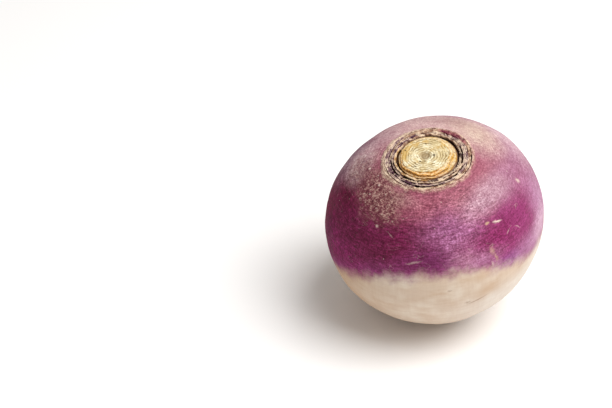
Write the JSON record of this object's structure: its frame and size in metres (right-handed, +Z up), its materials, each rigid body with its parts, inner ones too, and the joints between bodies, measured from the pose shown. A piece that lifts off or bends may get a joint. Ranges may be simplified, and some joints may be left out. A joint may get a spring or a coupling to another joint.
{
  "type": "turnip",
  "caption": "Purple-top turnip, topped and trimmed: a round root with a cut stem and dry leaf-stalk rims on its crown, standing on its trimmed root end.",
  "frame": {"origin": "on the surface that the turnip stands on, under the middle of its bounding box", "axes": "+Z up, square to the trimmed root end that it stands on; the crown leans about 10 degrees to -Y, the front, and about 7 degrees to -X"},
  "size_m": [0.0756, 0.0772, 0.0672],
  "materials": {
    "turnip_skin": "satin",
    "cut_stem": "matte",
    "dry_leaf_base": "matte"
  },
  "bodies": {
    "root": {"root": "turnip_skin", "crown_stem": "cut_stem", "leaf_base_01": "dry_leaf_base", "leaf_base_02": "dry_leaf_base", "leaf_base_03": "dry_leaf_base", "leaf_base_04": "dry_leaf_base", "leaf_base_05": "dry_leaf_base", "leaf_base_06": "dry_leaf_base", "leaf_base_07": "dry_leaf_base", "leaf_base_08": "dry_leaf_base", "leaf_base_09": "dry_leaf_base", "leaf_base_10": "dry_leaf_base", "leaf_base_11": "dry_leaf_base", "leaf_base_12": "dry_leaf_base"}
  },
  "joints": []
}
